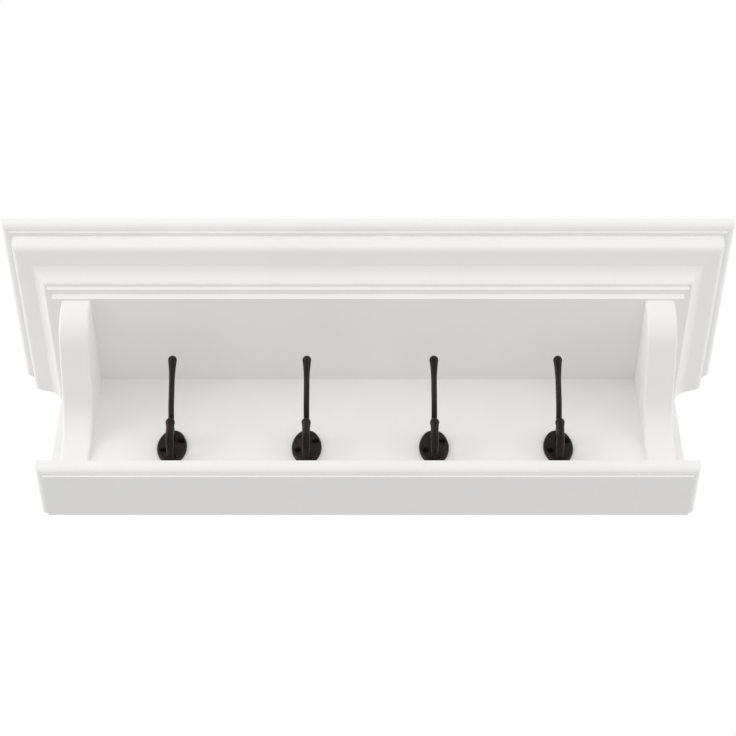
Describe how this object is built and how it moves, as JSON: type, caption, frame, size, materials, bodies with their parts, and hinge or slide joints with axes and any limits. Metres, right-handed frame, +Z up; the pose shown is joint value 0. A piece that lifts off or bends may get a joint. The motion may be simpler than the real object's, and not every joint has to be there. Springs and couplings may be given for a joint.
{
  "type": "wall coat rack with shelf",
  "caption": "White-painted wall shelf with a moulded crown, scroll brackets and a ledge, under which dark cast double coat hooks stand in a row.",
  "frame": {"origin": "on the wall plane, midway along the shelf, at the hanging line: the tops of the keyhole slots", "axes": "+Y into the wall, +Z up, +X along the shelf to the right as seen from the front"},
  "size_m": [0.7, 0.2, 0.2],
  "materials": {
    "white_paint": "satin white paint",
    "bare_wood": "planed, unpainted",
    "dowel_wood": "turned beech",
    "hook_bronze": "dark bronze, slightly rubbed",
    "hook_screw_bronze": "dark bronze",
    "zinc_steel": "bright zinc"
  },
  "bodies": {
    "root": {"top_board": "white_paint", "crown_front": "white_paint", "crown_left": "white_paint", "crown_right": "white_paint", "soffit_board": "white_paint", "back_panel": "white_paint", "end_stile_left": "white_paint", "end_stile_right": "white_paint", "ledge_board": "white_paint", "bracket_left": "white_paint", "bracket_right": "white_paint", "core_rail_front": "bare_wood", "core_rail_back": "bare_wood", "core_rail_left": "bare_wood", "core_rail_right": "bare_wood", "hanging_rail": "bare_wood", "lower_batten": "bare_wood", "top_dowels": "dowel_wood", "soffit_dowels": "dowel_wood", "ledge_dowels": "dowel_wood", "bracket_dowels": "dowel_wood", "coat_hook_1": "hook_bronze", "coat_hook_2": "hook_bronze", "coat_hook_3": "hook_bronze", "coat_hook_4": "hook_bronze", "hook_screws": "hook_screw_bronze", "hanger_plate_left": "zinc_steel", "hanger_plate_right": "zinc_steel", "hanger_screws": "zinc_steel", "frame_screws": "zinc_steel"}
  },
  "joints": []
}
